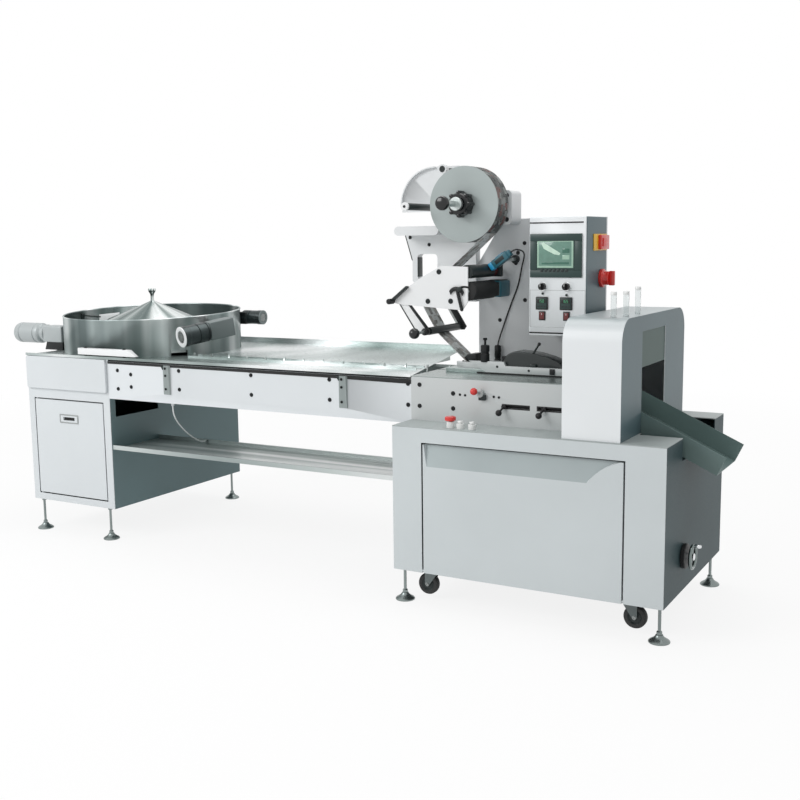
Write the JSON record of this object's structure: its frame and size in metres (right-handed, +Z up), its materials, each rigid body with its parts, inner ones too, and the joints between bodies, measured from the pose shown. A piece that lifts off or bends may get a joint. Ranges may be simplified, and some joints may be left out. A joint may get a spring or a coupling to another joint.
{
  "type": "horizontal flow wrapper",
  "caption": "Horizontal flow wrapper with rotary disc feeder, chain infeed conveyor, overhead film reel, operator box, guarded end sealer and discharge chute.",
  "frame": {"origin": "bottom centre of the bounding box, on the floor", "axes": "+X along the machine towards the discharge chute, +Y to the back, +Z up"},
  "size_m": [3.6298, 1.1259, 1.683],
  "materials": {
    "light_enclosure": "light grey powder coat, low gloss",
    "grey_green_enclosure": "grey-green side sheets, satin",
    "stainless": "brushed stainless sheet",
    "machined_white": "white coated machined plate",
    "dark_steel": "dark satin steel and rollers",
    "cast_grey": "grey cast and painted",
    "bright_chrome": "polished chrome",
    "black_rubber": "black rubber",
    "black_plastic": "black moulded plastic",
    "red_plastic": "red moulded plastic",
    "white_plastic": "white moulded plastic",
    "green_plastic": "dark green sheet",
    "clear_acrylic": "clear acrylic",
    "printed_film": "printed film"
  },
  "bodies": {
    "machine_frame": {"base_front_frame": "light_enclosure", "feeder_front_frame": "light_enclosure", "feeder_cover_panel": "light_enclosure", "base_top": "light_enclosure", "front_rail": "light_enclosure", "back_rail": "light_enclosure", "infeed_panel": "light_enclosure", "control_box": "light_enclosure", "head_plate": "light_enclosure", "base_left_wall": "grey_green_enclosure", "base_right_wall": "grey_green_enclosure", "base_back_wall": "grey_green_enclosure", "base_floor": "grey_green_enclosure", "feeder_left_wall": "grey_green_enclosure", "feeder_right_wall": "grey_green_enclosure", "feeder_back_wall": "grey_green_enclosure", "feeder_floor": "grey_green_enclosure", "guard_hood": "grey_green_enclosure", "exit_chute": "grey_green_enclosure", "deck_pan": "stainless", "lower_tray": "stainless", "disc_drum": "stainless", "drum_guides": "stainless", "table_top": "stainless", "film_former": "stainless", "rear_casters": "stainless", "reel_bracket": "machined_white", "film_back_frame": "machined_white", "film_front_plate": "machined_white", "pusher_chain": "dark_steel", "swing_arms": "dark_steel", "film_drive": "dark_steel", "levelling_feet": "cast_grey", "brush_motors": "cast_grey", "sensor_cable": "black_rubber", "tray_hose": "black_rubber", "operator_panel": "black_plastic", "hood_curtain": "green_plastic", "hood_posts": "clear_acrylic", "film_web": "printed_film"},
    "feed_disc_body": {"feed_disc": "stainless", "feed_cone": "stainless"},
    "reel_body": {"film_roll": "printed_film", "reel_shaft": "stainless"},
    "base_flap_body": {"base_flap": "light_enclosure"},
    "feeder_door_body": {"feeder_door": "light_enclosure"},
    "handwheel_body": {"handwheel": "bright_chrome"},
    "main_switch_body": {"main_switch": "red_plastic"},
    "selector_left_body": {"selector_left": "black_plastic"},
    "selector_right_body": {"selector_right": "black_plastic"},
    "slot_lever_left_body": {"slot_lever_left": "black_plastic"},
    "slot_lever_right_body": {"slot_lever_right": "black_plastic"},
    "mushroom_button_body": {"mushroom_button": "red_plastic"},
    "start_button_body": {"start_button": "white_plastic"},
    "stop_button_body": {"stop_button": "white_plastic"},
    "caster_fork_left_body": {"caster_fork_left": "stainless"},
    "caster_fork_right_body": {"caster_fork_right": "stainless"},
    "caster_wheel_left_body": {"caster_wheel_left": "black_rubber"},
    "caster_wheel_right_body": {"caster_wheel_right": "black_rubber"},
    "idler_roller_body": {"idler_roller": "dark_steel"}
  },
  "joints": [
    {"name": "feed_disc_spin", "type": "hinge", "parent": "machine_frame", "child": "feed_disc_body", "pos_m": [-1.09973, 0.053, 0.87], "axis": [0, 0, 1], "continuous": true},
    {"name": "reel_spin", "type": "hinge", "parent": "machine_frame", "child": "reel_body", "pos_m": [0.76527, -0.178, 1.519], "axis": [0, 1, 0], "continuous": true},
    {"name": "base_flap_hinge", "type": "hinge", "parent": "machine_frame", "child": "base_flap_body", "pos_m": [1.14177, -0.557, 0.139], "axis": [1, 0, 0], "range_deg": [0, 90]},
    {"name": "feeder_door_hinge", "type": "hinge", "parent": "machine_frame", "child": "feeder_door_body", "pos_m": [-1.44673, -0.404, 0.418], "axis": [0, 0, -1], "range_deg": [0, 110]},
    {"name": "handwheel_turn", "type": "hinge", "parent": "machine_frame", "child": "handwheel_body", "pos_m": [1.68527, -0.328, 0.262], "axis": [1, 0, 0], "continuous": true},
    {"name": "main_switch_turn", "type": "hinge", "parent": "machine_frame", "child": "main_switch_body", "pos_m": [1.28527, -0.07, 1.232], "axis": [1, 0, 0], "range_deg": [0, 90]},
    {"name": "selector_left_turn", "type": "hinge", "parent": "machine_frame", "child": "selector_left_body", "pos_m": [1.09727, -0.243, 1.205], "axis": [0, -1, 0], "range_deg": [-45, 45]},
    {"name": "selector_right_turn", "type": "hinge", "parent": "machine_frame", "child": "selector_right_body", "pos_m": [1.19227, -0.243, 1.205], "axis": [0, -1, 0], "range_deg": [-45, 45]},
    {"name": "slot_lever_left_slide", "type": "slide", "parent": "machine_frame", "child": "slot_lever_left_body", "axis": [1, 0, 0], "range_m": [0, 0.07]},
    {"name": "slot_lever_right_slide", "type": "slide", "parent": "machine_frame", "child": "slot_lever_right_body", "axis": [1, 0, 0], "range_m": [0, 0.07]},
    {"name": "mushroom_button_press", "type": "slide", "parent": "machine_frame", "child": "mushroom_button_body", "axis": [0, 0, -1], "range_m": [0, 0.004], "stiffness_N_per_m": 800, "springref_m": -0.005},
    {"name": "start_button_press", "type": "slide", "parent": "machine_frame", "child": "start_button_body", "axis": [0, 0, -1], "range_m": [0, 0.004], "stiffness_N_per_m": 800, "springref_m": -0.005},
    {"name": "stop_button_press", "type": "slide", "parent": "machine_frame", "child": "stop_button_body", "axis": [0, 0, -1], "range_m": [0, 0.004], "stiffness_N_per_m": 800, "springref_m": -0.005},
    {"name": "caster_swivel_left", "type": "hinge", "parent": "machine_frame", "child": "caster_fork_left_body", "pos_m": [0.76027, -0.473, 0.12], "axis": [0, 0, 1], "continuous": true},
    {"name": "caster_swivel_right", "type": "hinge", "parent": "machine_frame", "child": "caster_fork_right_body", "pos_m": [1.52527, -0.473, 0.12], "axis": [0, 0, 1], "continuous": true},
    {"name": "caster_roll_left", "type": "hinge", "parent": "caster_fork_left_body", "child": "caster_wheel_left_body", "pos_m": [0.73227, -0.473, 0.063], "axis": [0, 1, 0], "continuous": true},
    {"name": "caster_roll_right", "type": "hinge", "parent": "caster_fork_right_body", "child": "caster_wheel_right_body", "pos_m": [1.55327, -0.473, 0.063], "axis": [0, 1, 0], "continuous": true},
    {"name": "idler_spin", "type": "hinge", "parent": "machine_frame", "child": "idler_roller_body", "pos_m": [0.65727, -0.188, 1.03], "axis": [0, 1, 0], "continuous": true}
  ]
}
